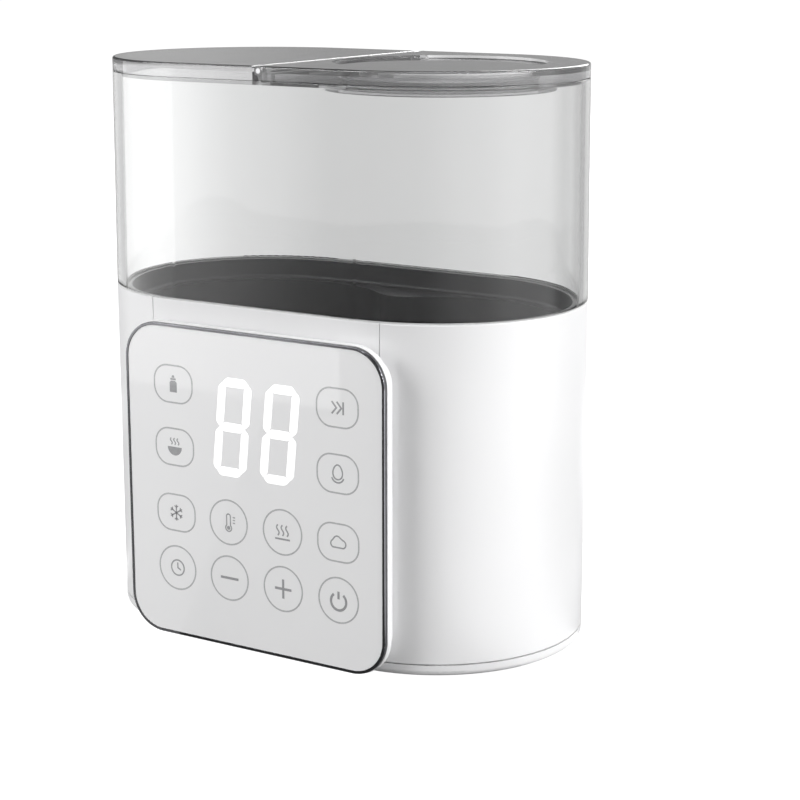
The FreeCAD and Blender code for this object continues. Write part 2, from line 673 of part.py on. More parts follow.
def flip_lid():
    half_depth = END_R - TOP_INSET
    lid = top_slab(LID_Z).common(box(0, WIDTH, -80, 80, 0, HEIGHT + 1))
    cavity = stadium(TOP_INSET + LID_SKIRT, LID_Z - 1, HEIGHT - LID_PLATE)
    lid = lid.cut(cavity.common(box(2.0, WIDTH, -80, 80, 0, HEIGHT)))
    lid = lid.fuse(rod_y(HINGE_R, 0, HINGE_Z, -half_depth, half_depth))
    lid = lid.cut(rod(DISH_R, OPENING_X, 0, HEIGHT - DISH_DEPTH, HEIGHT + 1))
    for side in (-1, 1):
        y0 = min(side * (LUG_Y0 - GAP), side * (LUG_Y1 + GAP))
        y1 = max(side * (LUG_Y0 - GAP), side * (LUG_Y1 + GAP))
        lid = lid.cut(box(-HINGE_R - 1, HINGE_R + GAP, y0, y1, 0, HEIGHT + 1))
        y0 = min(side * (PIN_Y0 - 0.1), side * (half_depth + 1))
        y1 = max(side * (PIN_Y0 - 0.1), side * (half_depth + 1))
        lid = lid.cut(rod_y(HINGE_PIN_R + 0.02, 0, HINGE_Z, y0, y1))
    return lid.removeSplitter()


def hinge_pins():
    pins = []
    for side in (-1, 1):
        outer_y = END_R - TOP_INSET - 0.05
        y0 = min(side * PIN_Y0, side * outer_y)
        y1 = max(side * PIN_Y0, side * outer_y)
        pins.append(rod_y(HINGE_PIN_R, 0, HINGE_Z, y0, y1))
    return compound(pins)


def lid_ring(profile):
    """Ring about the lid opening's axis, from radius and height pairs."""
    points = [Vector(OPENING_X + r, 0, z) for r, z in profile]
    face = Part.Face(Part.makePolygon(points + [points[0]]))
    return face.revolve(Vector(OPENING_X, 0, 0), Vector(0, 0, 1), 360)


def lid_plug():
    """Slightly tapered ring under the lid with a groove for its seal."""
    top_z = HEIGHT - LID_PLATE
    inner = PLUG_R - PLUG_T
    return lid_ring([(inner, PLUG_Z), (PLUG_TIP_R, PLUG_Z), (PLUG_TIP_R, 218.0),
                     (PLUG_R - 1.2, 218.0), (PLUG_R - 1.2, 219.6), (PLUG_R, 219.6),
                     (PLUG_R, top_z), (inner, top_z)])


def lid_seal():
    inner = PLUG_R - 1.15
    return lid_ring([(inner, 218.05), (37.0, 218.05), (37.55, 218.8), (37.0, 219.55),
                     (inner, 219.55)])


NODES = (
    base_shell, front_fascia, base_plate, rubber_feet, base_screws, cord_gland, tank_deck,
    panel_housing, panel_bezel, panel_glass, display_board, led_module, touch_pads,
    fascia_screws, buzzer, display_cable,
    tank, tank_gasket, tank_clamps, clamp_screws, heater_studs, heater_plate, heating_element,
    element_terminals, heater_nuts, thermostat, thermistor, thermal_fuse,
    power_board, board_screws, transformer, relay, capacitors, terminal_block,
    mains_fuse, heater_wires,
    hood_sleeve, hood_top, flip_lid, hinge_pins, lid_plug, lid_seal,
)

os.makedirs("parts", exist_ok=True)
for make in NODES:
    shape = make()
    shape.translate(Vector(0, SHIFT_Y, 0))
    bounds = shape.optimalBoundingBox(True, False)
    print("%-18s solids %2d valid %s  x %7.2f %7.2f  y %7.2f %7.2f  z %7.2f %7.2f" % (
        make.__name__, len(shape.Solids), shape.isValid(), bounds.XMin, bounds.XMax,
        bounds.YMin, bounds.YMax, bounds.ZMin, bounds.ZMax))
    shape.exportStep("parts/" + make.__name__ + ".step")
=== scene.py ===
"""Looks of the bottle sterilizer: materials, panel print, stage, light and camera. Metres."""
import json
import math

import bmesh
import bpy
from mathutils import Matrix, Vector


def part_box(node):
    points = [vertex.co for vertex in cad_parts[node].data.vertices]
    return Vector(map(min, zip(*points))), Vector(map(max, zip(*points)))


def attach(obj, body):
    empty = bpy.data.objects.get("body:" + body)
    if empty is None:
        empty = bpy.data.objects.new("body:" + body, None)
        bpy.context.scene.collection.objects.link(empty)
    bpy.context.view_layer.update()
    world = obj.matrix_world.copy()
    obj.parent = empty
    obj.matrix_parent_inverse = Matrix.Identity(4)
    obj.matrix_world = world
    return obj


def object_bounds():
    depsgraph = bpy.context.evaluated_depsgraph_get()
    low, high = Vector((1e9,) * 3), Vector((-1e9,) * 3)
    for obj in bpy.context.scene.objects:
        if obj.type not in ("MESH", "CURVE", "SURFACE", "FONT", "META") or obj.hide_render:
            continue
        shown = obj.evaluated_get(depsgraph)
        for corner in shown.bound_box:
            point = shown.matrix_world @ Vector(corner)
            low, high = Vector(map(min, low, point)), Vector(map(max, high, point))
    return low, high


MM = 0.001
MICRON = 0.000001
# most of a noise texture's values lie between these two
NOISE_LOW = 0.3
NOISE_HIGH = 0.7

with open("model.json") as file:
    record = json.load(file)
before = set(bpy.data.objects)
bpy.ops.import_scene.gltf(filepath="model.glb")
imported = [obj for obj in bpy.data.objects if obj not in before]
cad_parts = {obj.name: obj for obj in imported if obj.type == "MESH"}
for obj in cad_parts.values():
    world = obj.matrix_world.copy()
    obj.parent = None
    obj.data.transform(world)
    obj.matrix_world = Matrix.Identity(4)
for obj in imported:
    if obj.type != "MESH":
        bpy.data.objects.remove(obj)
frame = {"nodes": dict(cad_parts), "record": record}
cad_low, cad_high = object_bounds()
record = frame["record"]
nodes_by_name = frame["nodes"]


# ---------------------------------------------------------------- materials

class Graph:
    """A Principled material and short ways to feed its sockets."""

    def __init__(self, name, **values):
        self.material = bpy.data.materials.new(name)
        self.material.use_nodes = True
        self.tree = self.material.node_tree
        self.shader = self.tree.nodes["Principled BSDF"]
        self.place = self.tree.nodes.new("ShaderNodeTexCoord").outputs["Object"]
        for key, value in values.items():
            socket = self.shader.inputs[key.replace("_", " ")]
            if isinstance(value, tuple) and len(value) == 3:
                value = (*value, 1.0)
            socket.default_value = value
        self.normal = None

    def node(self, kind, **values):
        """Adds a node and sets its options and its inputs by name."""
        made = self.tree.nodes.new(kind)
        for key, value in values.items():
            if hasattr(made, key):
                setattr(made, key, value)
            else:
                made.inputs[key.replace("_", " ")].default_value = value
        return made

    def link(self, a, b):
        self.tree.links.new(a, b)

    def stretched(self, scale):
        """Object coordinates with a scale of their own along each axis."""
        mapping = self.node("ShaderNodeMapping")
        mapping.inputs["Scale"].default_value = scale
        self.link(self.place, mapping.inputs["Vector"])
        return mapping.outputs["Vector"]

    def noise(self, scale, detail=3.0, rough=0.5, vector=None):
        made = self.node("ShaderNodeTexNoise", Scale=scale, Detail=detail, Roughness=rough)
        self.link(vector or self.place, made.inputs["Vector"])
        return made.outputs["Fac"]

    def cells(self, scale, feature="F1"):
        made = self.node("ShaderNodeTexVoronoi", feature=feature, Scale=scale)
        self.link(self.place, made.inputs["Vector"])
        return made.outputs["Distance"]

    def ramp(self, value, *stops):
        """Colours or greys between stops of (position, colour)."""
        made = self.node("ShaderNodeValToRGB")
        band = made.color_ramp.elements
        while len(band) < len(stops):
            band.new(0.5)
        for element, (at, color) in zip(band, stops):
            element.position = at
            element.color = (*color, 1.0) if isinstance(color, tuple) else (color,) * 3 + (1.0,)
        self.link(value, made.inputs["Fac"])
        return made.outputs["Color"]

    def clouded(self, scale, dark, light, detail=3.0):
        """Drifts between two tones."""
        return self.ramp(self.noise(scale, detail), (NOISE_LOW, dark), (NOISE_HIGH, light))

    def span(self, value, low, high):
        """Turns a noise into values between low and high."""
        made = self.node("ShaderNodeMapRange")
        made.inputs["From Min"].default_value = NOISE_LOW
        made.inputs["From Max"].default_value = NOISE_HIGH
        made.inputs["To Min"].default_value = low
        made.inputs["To Max"].default_value = high
        self.link(value, made.inputs["Value"])
        return made.outputs["Result"]

    def feed(self, socket, value):
        """Links a value to one of the shader's sockets."""
        self.link(value, self.shader.inputs[socket])
        return self

    def bump(self, height, depth):
        """Adds relief of the given depth in metres on top of what is there."""
        made = self.node("ShaderNodeBump", Strength=1.0, Distance=depth)
        self.link(height, made.inputs["Height"])
        if self.normal is not None:
            self.link(self.normal, made.inputs["Normal"])
        self.normal = made.outputs["Normal"]
        self.link(self.normal, self.shader.inputs["Normal"])
        return self


def tone(color, factor):
    """The colour made lighter or darker."""
    return tuple(min(1.0, c * factor) for c in color)


def moulded(name, color, rough, gloss_noise=14.0, grain=900.0, depth=20 * MICRON):
    """Moulded plastic: faint clouding, gloss that varies, and a fine surface grain."""
    g = Graph(name)
    g.feed("Base Color", g.clouded(gloss_noise, tone(color, 0.975), tone(color, 1.02)))
    g.feed("Roughness", g.span(g.noise(gloss_noise * 2.2, 4.0), rough * 0.85, rough * 1.2))
    g.bump(g.noise(grain, 2.0), depth)
    return g


def metal(name, color, rough, brushed=(400.0, 400.0, 30.0), depth=10 * MICRON):
    """Worked metal: tool lines along one direction and smudged gloss."""
    g = Graph(name, Metallic=1.0)
    lines = g.noise(1.0, 3.0, 0.6, g.stretched(brushed))
    g.feed("Base Color", g.clouded(60.0, tone(color, 0.86), tone(color, 1.06)))
    g.feed("Roughness", g.span(lines, rough * 0.75, rough * 1.35))
    g.bump(lines, depth)
    return g


def white_shell():
    return moulded("white_shell", (0.80, 0.80, 0.806), 0.34, 9.0, 1400.0, 12 * MICRON)


def clear_hood():
    """Clear wall, very slightly uneven."""
    g = Graph("clear_hood", Transmission_Weight=1.0, IOR=1.47)
    g.feed("Base Color", g.clouded(12.0, (0.845, 0.85, 0.85), (0.86, 0.86, 0.86)))
    g.feed("Roughness", g.span(g.noise(30.0, 5.0), 0.002, 0.007))
    g.bump(g.noise(9.0, 0.0), 2 * MICRON)
    return g


def smoky_top():
    """Smoky clear plastic whose colour follows face direction as painted shade: flat faces dark,
    upright faces light, so its edges look lighter.
    """
    g = Graph("smoky_top", Transmission_Weight=0.85, IOR=1.49)
    facing = g.node("ShaderNodeSeparateXYZ")
    g.link(g.node("ShaderNodeTexCoord").outputs["Normal"], facing.inputs[0])
    flat = g.node("ShaderNodeMath", operation="ABSOLUTE")
    g.link(facing.outputs["Z"], flat.inputs[0])
    cloud = g.clouded(20.0, 0.94, 1.0)
    # painted shade by face direction: flat faces darkened, upright faces lightened
    painted_face_shade = g.ramp(flat.outputs[0], (0.25, (0.80, 0.80, 0.805)), (0.8, (0.17, 0.17, 0.174)))
    mixed = g.node("ShaderNodeMix", data_type="RGBA", blend_type="MULTIPLY")
    mixed.inputs[0].default_value = 1.0
    g.link(painted_face_shade, mixed.inputs[6])
    g.link(cloud, mixed.inputs[7])
    g.feed("Base Color", mixed.outputs[2])
    g.feed("Roughness", g.span(g.noise(45.0, 5.0), 0.03, 0.08))
    g.bump(g.noise(26.0, 1.0), 30 * MICRON)
    return g


def dark_coating():
    """Non-stick coating with fine pale specks."""
    g = Graph("dark_coating", Coat_Weight=0.25, Coat_Roughness=0.25)
    specks = g.cells(2600.0)
    g.feed("Base Color", g.ramp(specks, (0.10, (0.075, 0.075, 0.078)), (0.24, (0.042, 0.042, 0.045))))
    g.feed("Roughness", g.span(g.noise(40.0, 5.0), 0.30, 0.44))
    g.bump(specks, 8 * MICRON).bump(g.noise(700.0), 6 * MICRON)
    return g


def dark_trim():
    return metal("dark_trim", (0.17, 0.17, 0.18), 0.16, (30.0, 500.0, 500.0), 4 * MICRON)


def printed_glass():
    """Pale printed back seen through a glossy front."""
    g = Graph("printed_glass", Coat_Weight=1.0, Coat_Roughness=0.02, Coat_IOR=1.5)
    g.feed("Base Color", g.clouded(16.0, (0.888, 0.888, 0.894), (0.912, 0.912, 0.917), 2.0))
    g.feed("Roughness", g.span(g.noise(300.0), 0.42, 0.58))
    g.bump(g.noise(12.0, 1.0), 20 * MICRON)
    return g


def circuit_board():
    """Green board with a web of lighter tracks."""
    g = Graph("circuit_board", Coat_Weight=0.6, Coat_Roughness=0.2)
    tracks = g.cells(190.0, "DISTANCE_TO_EDGE")
    g.feed("Base Color", g.ramp(tracks, (0.06, (0.10, 0.36, 0.16)), (0.10, (0.03, 0.20, 0.08))))
    g.feed("Roughness", g.span(g.noise(80.0), 0.3, 0.45))
    g.bump(tracks, 30 * MICRON)
    return g


def silicone():
    g = Graph("silicone", Subsurface_Weight=0.25, Subsurface_Scale=0.002)
    g.feed("Base Color", g.clouded(40.0, (0.72, 0.72, 0.70), (0.78, 0.78, 0.76)))
    g.feed("Roughness", g.span(g.noise(90.0), 0.38, 0.52))
    g.bump(g.noise(600.0), 20 * MICRON)
    return g


def grey_rubber():
    g = Graph("grey_rubber", Sheen_Weight=0.15)
    g.feed("Base Color", g.clouded(70.0, (0.12, 0.12, 0.125), (0.16, 0.16, 0.165)))
    g.feed("Roughness", g.span(g.noise(200.0), 0.68, 0.85))
    g.bump(g.noise(1100.0, 4.0), 50 * MICRON)
    return g


def element_steel():
    """Steel with straw, purple and blue heat tints."""
    g = metal("element_steel", (0.40, 0.38, 0.36), 0.38, (60.0, 60.0, 60.0), 10 * MICRON)
    straw, purple, blue = (0.42, 0.33, 0.22), (0.36, 0.30, 0.34), (0.22, 0.26, 0.36)
    return g.feed("Base Color", g.ramp(g.noise(38.0), (0.35, straw), (0.5, purple), (0.65, blue)))


def aluminium():
    g = metal("aluminium", (0.66, 0.66, 0.67), 0.45, (300.0, 300.0, 300.0), 40 * MICRON)
    return g.bump(g.noise(500.0, 4.0), 50 * MICRON)


FINISHES = {
    "white_shell": white_shell,
    "clear_hood": clear_hood,
    "smoky_top": smoky_top,
    "dark_coating": dark_coating,
    "dark_trim": dark_trim,
    "printed_glass": printed_glass,
    "white_plastic": lambda: moulded("white_plastic", (0.74, 0.74, 0.73), 0.45),
    "black_plastic": lambda: moulded("black_plastic", (0.03, 0.03, 0.03), 0.5),
    "blue_plastic": lambda: moulded("blue_plastic", (0.03, 0.10, 0.36), 0.35),
    "green_terminal": lambda: moulded("green_terminal", (0.05, 0.30, 0.10), 0.45),
    "circuit_board": circuit_board,
    "silicone": silicone,
    "grey_rubber": grey_rubber,
    "steel": lambda: metal("steel", (0.58, 0.58, 0.59), 0.38),
    "element_steel": element_steel,
    "aluminium": aluminium,
    "brass": lambda: metal("brass", (0.72, 0.52, 0.22), 0.38),
    "copper_red": lambda: moulded("copper_red", (0.50, 0.05, 0.04), 0.4),
    "can": lambda: moulded("can", (0.05, 0.06, 0.16), 0.34),
}
finishes = {slot: make().material for slot, make in FINISHES.items()}

for part in record["subparts"]:
    cad = nodes_by_name[part["node"]]
    cad.data.materials.clear()
    cad.data.materials.append(finishes[part["material_slot"]])


# ---------------------------------------------------------------- panel print

glass_low, glass_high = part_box("panel_glass")
PANEL_X = (glass_low.x + glass_high.x) / 2
PANEL_Z = (glass_low.z + glass_high.z) / 2
INK_FRONT = glass_low.y - 0.03 * MM
INK_BACK = glass_low.y + 0.02 * MM
# millimetres from the middle of the glass
KEY_X = (-36.6, -11.4, 13.8, 39.0)
KEY_Z = (-34.75, -12.35, 14.05, 38.95)
SQUARE_KEY = (18.2, 14.6, 6.2)
ROUND_KEY = 8.8
LINE = 0.62
DIGITS_X = 2.2
DIGITS_Z = 25.25
DIGIT_PITCH = 21.8
DIGIT_SLANT = 0.1


def ink(name, color):
    """Printed line under the gloss of the glass."""
    g = Graph(name, Coat_Weight=1.0, Coat_Roughness=0.02, Coat_IOR=1.5)
    g.feed("Base Color", g.clouded(900.0, tone(color, 0.9), tone(color, 1.1)))
    g.feed("Roughness", g.span(g.noise(500.0), 0.4, 0.6))
    return g.material


def lit():
    """Light of the display through the glass."""
    g = Graph("digit_light", Base_Color=(0.9, 0.9, 0.9), Emission_Color=(1.0, 1.0, 1.0),
              Coat_Weight=1.0, Coat_Roughness=0.02)
    g.feed("Emission Strength", g.span(g.noise(260.0), 0.55, 0.7))
    return g.material


class Print:
    """Thin closed ribbons and patches on the front of the glass, in millimetres from its middle."""

    def __init__(self, name, material):
        self.mesh = bmesh.new()
        self.name = name
        self.material = material

    def corner(self, p, y):
        return self.mesh.verts.new((PANEL_X + p[0] * MM, y, PANEL_Z + p[1] * MM))

    def ribbon(self, points, width=LINE, closed=False):
        """A line of even width through the points."""
        count = len(points)
        left, right = [], []
        for i, p in enumerate(points):
            before = points[i - 1] if closed or i else p
            after = points[(i + 1) % count] if closed or i < count - 1 else p
            a = Vector((p[0] - before[0], p[1] - before[1]))
            b = Vector((after[0] - p[0], after[1] - p[1]))
            a = a.normalized() if a.length else b.normalized()
            b = b.normalized() if b.length else a
            along = (a + b).normalized()
            across = Vector((-along.y, along.x)) * (width / 2 / max(0.5, along.dot(a)))
            left.append((p[0] + across.x, p[1] + across.y))
            right.append((p[0] - across.x, p[1] - across.y))
        rings = []
        for a, b in zip(left, right):
            rings.append([self.corner(a, INK_FRONT), self.corner(b, INK_FRONT),
                          self.corner(b, INK_BACK), self.corner(a, INK_BACK)])
        for i in range(count if closed else count - 1):
            near, far = rings[i], rings[(i + 1) % count]
            for k in range(4):
                m = (k + 1) % 4
                self.mesh.faces.new((near[k], near[m], far[m], far[k]))
        if not closed:
            self.mesh.faces.new(rings[0])
            self.mesh.faces.new(rings[-1][::-1])

    def patch(self, points):
        """A filled outline."""
        front = [self.corner(p, INK_FRONT) for p in points]
        back = [self.corner(p, INK_BACK) for p in points]
        self.mesh.faces.new(front)
        self.mesh.faces.new(back[::-1])
        for i in range(len(points)):
            k = (i + 1) % len(points)
            self.mesh.faces.new((front[k], front[i], back[i], back[k]))

    def done(self):
        """Makes the object and ties it to the base."""
        bmesh.ops.recalc_face_normals(self.mesh, faces=self.mesh.faces)
        data = bpy.data.meshes.new(self.name)
        self.mesh.to_mesh(data)
        self.mesh.free()
        data.materials.append(self.material)
        made = bpy.data.objects.new(self.name, data)
        bpy.context.scene.collection.objects.link(made)
        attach(made, "base")


def arc(x, z, radius, start, end, steps=24):
    """Points along an arc, between two angles in degrees."""
    turns = [math.radians(start + (end - start) * k / steps) for k in range(steps + 1)]
    return [(x + radius * math.cos(t), z + radius * math.sin(t)) for t in turns]


def circle(x, z, radius, steps=48):
    return arc(x, z, radius, 0, 360, steps)[:-1]


def rounded(x, z, width, height, radius, steps=10):
    """Outline of a rounded rectangle."""
    w = width / 2 - radius
    h = height / 2 - radius
    points = []
    for cx, cz, start in ((w, h, 0), (-w, h, 90), (-w, -h, 180), (w, -h, 270)):
        points += arc(x + cx, z + cz, radius, start, start + 90, steps)
    return points


def wave(x, z, height, reach=0.45, steps=12):
    """An upright wavy line, as of steam."""
    return [(x + reach * math.sin(2 * math.pi * k / steps), z + height * (k / steps - 0.5))
            for k in range(steps + 1)]


def bottle_icon(p, x, z):
    p.patch([(x - 1.7, z - 3.2), (x + 1.7, z - 3.2), (x + 1.7, z + 0.6), (x + 1.0, z + 1.3),
             (x - 1.0, z + 1.3), (x - 1.7, z + 0.6)])
    p.patch([(x - 1.3, z + 1.6), (x + 1.3, z + 1.6), (x + 1.3, z + 2.3), (x - 1.3, z + 2.3)])
    p.patch([(x - 0.8, z + 2.5), (x + 0.8, z + 2.5)] + arc(x, z + 2.9, 0.6, 0, 180, 8))


def bowl_icon(p, x, z):
    p.patch([(x - 3.4, z)] + arc(x, z, 3.4, 180, 360, 18)[1:-1] + [(x + 3.4, z)])
    for dx in (-1.6, 0.0, 1.6):
        p.ribbon(wave(x + dx, z + 2.2, 2.6), 0.5)


def off(x, z, reach, turn):
    """The point at a distance and an angle in radians from another."""
    return (x + reach * math.cos(turn), z + reach * math.sin(turn))


def thaw_icon(p, x, z):
    """Snowflake: three crossing bars, with a pair of barbs near each end."""
    for k in range(3):
        turn = math.radians(60 * k + 30)
        p.ribbon([off(x, z, -3.2, turn), off(x, z, 3.2, turn)], 0.55)
    for k in range(6):
        turn = math.radians(60 * k + 30)
        fork = off(x, z, 2.1, turn)
        for side in (-0.9, 0.9):
            p.ribbon([fork, off(*fork, 1.1, turn + side)], 0.45)


def clock_icon(p, x, z):
    p.ribbon(circle(x, z, 3.1, 36), 0.6, True)
    p.ribbon([(x, z + 2.1), (x, z), (x + 1.5, z - 0.8)], 0.6)


def heat_icon(p, x, z):
    p.ribbon([(x - 0.9, z - 1.3), (x - 0.9, z + 2.4)] + arc(x, z + 2.4, 0.9, 180, 0, 10)[1:]
             + [(x + 0.9, z - 1.3)] + arc(x, z - 2.2, 1.4, 40, -220, 18), 0.5)
    p.patch(circle(x, z - 2.2, 0.8, 20))
    for dz in (0.0, 1.1, 2.2):
        p.ribbon([(x + 2.0, z + dz), (x + 3.1, z + dz)], 0.45)


def steam_icon(p, x, z):
    for dx in (-2.1, 0.0, 2.1):
        p.ribbon(wave(x + dx, z + 0.7, 4.2, 0.55), 0.6)
    p.ribbon([(x - 3.4, z - 2.7), (x + 3.4, z - 2.7)], 0.7)


def fast_icon(p, x, z):
    for dx in (-2.4, -0.2):
        p.ribbon([(x + dx, z + 2.3), (x + dx + 2.0, z), (x + dx, z - 2.3)], 0.7)
    p.ribbon([(x + 2.6, z - 2.4), (x + 2.6, z + 2.4)], 0.7)


def egg_icon(p, x, z):
    shell = []
    for k in range(28):
        t = 2 * math.pi * k / 28
        up = math.sin(t)
        shell.append((x + 2.1 * math.cos(t) * (1 - 0.16 * up), z + 0.6 + 2.8 * up))
    p.ribbon(shell, 0.55, True)
    p.ribbon(arc(x, z - 0.6, 2.8, 200, 340, 14), 0.6)


def cloud_icon(p, x, z):
    outline = (arc(x - 1.8, z - 0.5, 1.5, 250, 120, 8) + arc(x - 0.4, z + 0.8, 1.7, 150, 40, 8)
               + arc(x + 1.8, z - 0.4, 1.6, 80, -70, 8))
    p.ribbon(outline, 0.55, True)


def minus_icon(p, x, z):
    p.ribbon([(x - 4.2, z), (x + 4.2, z)], 1.0)


def plus_icon(p, x, z):
    half = 0.5
    arm = 3.8
    p.patch([(x - half, z - half), (x - half, z - arm), (x + half, z - arm), (x + half, z - half),
             (x + arm, z - half), (x + arm, z + half), (x + half, z + half), (x + half, z + arm),
             (x - half, z + arm), (x - half, z + half), (x - arm, z + half), (x - arm, z - half)])


def power_icon(p, x, z):
    p.ribbon(arc(x, z - 0.5, 3.4, 128, 412, 40), 1.0)
    p.ribbon([(x, z + 0.4), (x, z + 3.4)], 1.0)


# column, row from the bottom, whether it is square, icon
KEYS = (
    (0, 3, True, bottle_icon), (0, 2, True, bowl_icon), (0, 1, True, thaw_icon),
    (3, 3, True, fast_icon), (3, 2, True, egg_icon), (3, 1, True, cloud_icon),
    (0, 0, False, clock_icon), (1, 1, False, heat_icon), (2, 1, False, steam_icon),
    (1, 0, False, minus_icon), (2, 0, False, plus_icon), (3, 0, False, power_icon),
)
outlines = Print("key_outlines", ink("outline_ink", (0.47, 0.47, 0.48)))
icons = Print("key_icons", ink("icon_ink", (0.33, 0.33, 0.34)))
for column, row, square, icon in KEYS:
    x, z = KEY_X[column], KEY_Z[row]
    outline = rounded(x, z, *SQUARE_KEY) if square else circle(x, z, ROUND_KEY)
    outlines.ribbon(outline, LINE, True)
    icon(icons, x, z)
outlines.done()
icons.done()


def segment(start, end, half):
    """One bar of a digit, pointed at both ends."""
    a, b = Vector(start), Vector(end)
    along = (b - a).normalized()
    side = Vector((-along.y, along.x)) * half
    tip = along * half
    slope, shoulder = 0.75, 1.25
    corners = [a, a + tip * slope + side * slope, a + tip * shoulder + side,
               b - tip * shoulder + side, b - tip * slope + side * slope,
               b, b - tip * slope - side * slope, b - tip * shoulder - side,
               a + tip * shoulder - side, a + tip * slope - side * slope]
    return [(c.x, c.y) for c in corners]


def digit_eight(p, x, z):
    """All seven bars of a digit, leaning a little."""
    half_width, half_height, gap, half_bar = 6.0, 17.5, 0.2, 1.75
    bars = []
    for level in (-half_height, 0.0, half_height):
        bars.append(((-half_width + gap, level), (half_width - gap, level)))
    for side in (-half_width, half_width):
        bars.append(((side, gap), (side, half_height - gap)))
        bars.append(((side, -half_height + gap), (side, -gap)))
    for start, end in bars:
        p.patch([(x + u + DIGIT_SLANT * v, z + v) for u, v in segment(start, end, half_bar)])


digits = Print("lit_digits", lit())
for side in (-0.5, 0.5):
    digit_eight(digits, DIGITS_X + side * DIGIT_PITCH, DIGITS_Z)
digits.done()


# ---------------------------------------------------------------- edges and shading

# clear parts keep their own normals: evened ones leave dark marks along their outlines
CLEAR = ("hood_sleeve", "hood_top", "flip_lid", "lid_plug")
for node, cad in nodes_by_name.items():
    if node not in CLEAR:
        even = cad.modifiers.new("even_shading", "WEIGHTED_NORMAL")
        even.keep_sharp = True


# ---------------------------------------------------------------- stage

FLOOR_Z = cad_low.z - 0.2 * MM
FLOOR_REACH = 10.0
FLOOR_GLOW = 0.97
MAT_Z = FLOOR_Z + 1.0 * MM
SKY = 0.17
BACKDROP_RADIUS = 9.0
BACKDROP_TOP = 8.0
RING_RADIUS = 0.45
RING_STEP = 2
CARD_TOP = 0.30
FRONT_CARD_FOOT = 0.062
RIGHT_CARD_SPLIT = 0.06
PAINTED_LIGHT_BEHIND_GLASS_TOP = 0.45
centre = (cad_low + cad_high) / 2

# the kinds of ray that pass a stage piece by
LIGHTS_NOTHING = ("diffuse",)
SEEN_DIRECTLY = ("diffuse", "glossy", "shadow", "volume_scatter")
REFLECTED_ONLY = ("camera", "diffuse", "transmission", "shadow", "volume_scatter")
THROUGH_GLASS = ("camera", "diffuse", "glossy", "shadow", "volume_scatter")

# degrees round the object (0 in front, 90 at its right) and brightness there
FRONT_LEFT = ((-90, 2.0), (-75, 2.2), (-42, 2.35), (-25, 0.12))
BACK = ((-215, 0.12), (-198, 0.65), (-180, 0.7), (-165, 0.42), (-148, 0.40), (-132, 0.53),
        (-112, 0.35), (-90, 0.5))
RIGHT_HIGH = ((-25, 0.12), (22, 0.12), (60, 1.0), (88, 1.9), (112, 1.6), (128, 0.15), (165, 0.12))
RIGHT_LOW = ((-25, 0.12), (20, 0.12), (42, 1.8), (60, 3.6), (88, 4.4), (112, 3.4), (128, 0.15),
             (165, 0.12))
# brightness of a wall seen only through the clear parts: painted light and shade inside the hood
PAINTED_GLASS_LIGHT = ((-180, 0.9), (-163, 0.98), (-147, 0.86), (-140, 0.98), (-128, 1.45), (-118, 1.3),
                (-104, 0.8), (-60, 0.8), (120, 0.8), (150, 0.6), (170, 0.62), (180, 0.9))
EVEN = ((-180, 1.05), (180, 1.05))

# mats on the floor that only reflections show: brightness and corners
MATS = (
    ("front_mat", 0.12, ((-0.012, -0.02), (-0.249, -0.42), (0.20, -0.42), (0.10, -0.02))),
    ("front_left_mat", 0.55, ((-0.012, -0.02), (-0.22, -0.02), (-0.60, -0.42), (-0.249, -0.42))),
    ("right_mat", 0.12, ((0.08, 0.02), (0.42, 0.16), (0.12, 0.44), (0.04, 0.06))),
    ("bright_mat", 2.6, ((0.11, -0.07), (0.27, -0.33), (0.44, 0.10), (0.12, 0.01))),
    ("left_mat", 0.3, ((-0.08, 0.0), (-0.45, -0.02), (-0.22, 0.38), (-0.06, 0.05))),
)


def floor_material():
    """Pale seamless floor, lit from within like a light table."""
    g = Graph("floor", Specular_IOR_Level=0.1, Emission_Color=(1.0, 1.0, 1.0))
    g.feed("Base Color", g.clouded(3.0, (0.34, 0.34, 0.345), (0.37, 0.37, 0.375)))
    g.feed("Roughness", g.span(g.noise(200.0), 0.55, 0.7))
    g.feed("Emission Strength", g.span(g.noise(2.0), FLOOR_GLOW * 0.98, FLOOR_GLOW * 1.02))
    return g.material


def glow(name, strength):
    """Plain white light of one strength."""
    material = bpy.data.materials.new(name)
    material.use_nodes = True
    tree = material.node_tree
    tree.nodes.clear()
    out = tree.nodes.new("ShaderNodeOutputMaterial")
    shine = tree.nodes.new("ShaderNodeEmission")
    shine.inputs["Color"].default_value = (1.0, 1.0, 1.0, 1.0)
    shine.inputs["Strength"].default_value = strength
    tree.links.new(shine.outputs[0], out.inputs["Surface"])
    return material


def add_to_stage(name, mesh, material, unseen):
    """Adds a stage piece that the given kinds of ray pass by."""
    mesh.materials.append(material)
    made = bpy.data.objects.new(name, mesh)
    bpy.context.scene.collection.objects.link(made)
    for ray in unseen:
        setattr(made, "visible_" + ray, False)


def sheet(name, corners, z, material, unseen):
    """A level stage piece with four corners."""
    mesh = bpy.data.meshes.new(name)
    mesh.from_pydata([(x, y, z) for x, y in corners], [], [(0, 1, 2, 3)])
    add_to_stage(name, mesh, material, unseen)


def shade_at(turn, stops):
    """Brightness at an angle, eased between the stops beside it."""
    for (before, first), (after, second) in zip(stops, stops[1:]):
        if before <= turn <= after:
            part = (turn - before) / (after - before)
            return first + (second - first) * part * part * (3 - 2 * part)


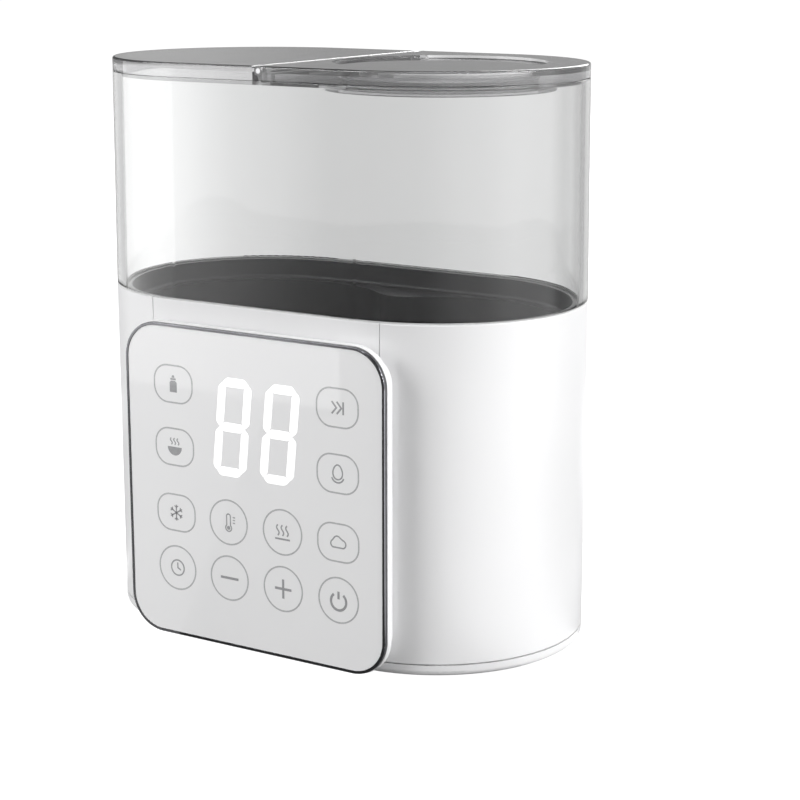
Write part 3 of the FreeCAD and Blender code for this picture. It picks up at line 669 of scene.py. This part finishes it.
def ring(name, stops, low, high, unseen, radius=RING_RADIUS):
    """A glowing wall round the object between two heights."""
    start, end = stops[0][0], stops[-1][0]
    steps = int((end - start) / RING_STEP)
    corners, shades = [], []
    for k in range(steps + 1):
        turn = start + (end - start) * k / steps
        a = math.radians(turn)
        x, y = centre.x + radius * math.sin(a), centre.y - radius * math.cos(a)
        corners += [(x, y, low), (x, y, high)]
        shades += [shade_at(turn, stops)] * 2
    mesh = bpy.data.meshes.new(name)
    mesh.from_pydata(corners, [], [(2 * k, 2 * k + 1, 2 * k + 3, 2 * k + 2) for k in range(steps)])
    painted = mesh.color_attributes.new("shade", "FLOAT_COLOR", "POINT")
    for point, shade in zip(painted.data, shades):
        point.color = (shade, shade, shade, 1.0)
    material = glow(name, 1.0)
    tree = material.node_tree
    read = tree.nodes.new("ShaderNodeAttribute")
    read.attribute_name = "shade"
    tree.links.new(read.outputs["Color"], tree.nodes["Emission"].inputs["Color"])
    add_to_stage(name, mesh, material, unseen)


quarters = ((-1, -1), (1, -1), (1, 1), (-1, 1))
floor_corners = [(x * FLOOR_REACH, y * FLOOR_REACH) for x, y in quarters]
sheet("floor", floor_corners, FLOOR_Z, floor_material(), LIGHTS_NOTHING)
ring("backdrop", EVEN, FLOOR_Z, BACKDROP_TOP, SEEN_DIRECTLY, BACKDROP_RADIUS)
ring("front_left_card", FRONT_LEFT, FRONT_CARD_FOOT, CARD_TOP, REFLECTED_ONLY)
ring("back_card", BACK, FLOOR_Z, CARD_TOP, REFLECTED_ONLY)
ring("right_high_card", RIGHT_HIGH, RIGHT_CARD_SPLIT, CARD_TOP, REFLECTED_ONLY)
ring("right_low_card", RIGHT_LOW, FLOOR_Z, RIGHT_CARD_SPLIT, REFLECTED_ONLY)
# a glowing wall seen only through the clear parts, painting light and shade into them
ring("painted_light_behind_glass", PAINTED_GLASS_LIGHT, FLOOR_Z, PAINTED_LIGHT_BEHIND_GLASS_TOP, THROUGH_GLASS)
for name, brightness, corners in MATS:
    sheet(name, corners, MAT_Z, glow(name, brightness), REFLECTED_ONLY)


# ---------------------------------------------------------------- light

world = bpy.data.worlds.new("studio")
world.use_nodes = True
world.node_tree.nodes["Background"].inputs["Color"].default_value = (1.0, 1.0, 1.0, 1.0)
world.node_tree.nodes["Background"].inputs["Strength"].default_value = SKY
bpy.context.scene.world = world
bpy.context.scene.view_settings.view_transform = "Standard"


def softbox(name, turn, rise, distance, width, height, radiance):
    """Rectangular light aimed at the object, at angles round it and above it in degrees."""
    light = bpy.data.lights.new(name, "AREA")
    light.shape = "RECTANGLE"
    light.size = width
    light.size_y = height
    light.energy = radiance * math.pi * width * height
    made = bpy.data.objects.new(name, light)
    a, b = math.radians(turn), math.radians(rise)
    away = Vector((math.sin(a) * math.cos(b), -math.cos(a) * math.cos(b), math.sin(b)))
    made.location = centre + away * distance
    made.rotation_euler = (-away).to_track_quat("-Z", "Y").to_euler()
    made.visible_camera = False
    bpy.context.scene.collection.objects.link(made)
    return made


softbox("left", turn=-40, rise=22, distance=2.2, width=1.4, height=1.6, radiance=6.0)
softbox("right", turn=93, rise=20, distance=2.2, width=1.4, height=1.5, radiance=8.7)
behind = softbox("back", turn=188, rise=28, distance=2.2, width=1.4, height=1.4, radiance=7.0)
behind.visible_transmission = False
softbox("above", turn=0, rise=80, distance=1.5, width=1.0, height=0.8, radiance=2.0)


# ---------------------------------------------------------------- camera

YAW = 0.557
PITCH = 0.2272
DISTANCE = 0.8
AIM = centre + Vector((24.9, 3.7, -20.7)) * MM

camera_data = bpy.data.cameras.new("camera")
camera_data.sensor_width = 36.0
camera_data.lens = 90.8
camera_data.clip_start = 0.01
camera_data.clip_end = 100.0
camera = bpy.data.objects.new("camera", camera_data)
bpy.context.scene.collection.objects.link(camera)
back = Vector((math.sin(YAW) * math.cos(PITCH), -math.cos(YAW) * math.cos(PITCH), math.sin(PITCH)))
camera.location = AIM + back * DISTANCE
camera.rotation_mode = "QUATERNION"
camera.rotation_quaternion = (-back).to_track_quat("-Z", "Y")
bpy.context.scene.camera = camera
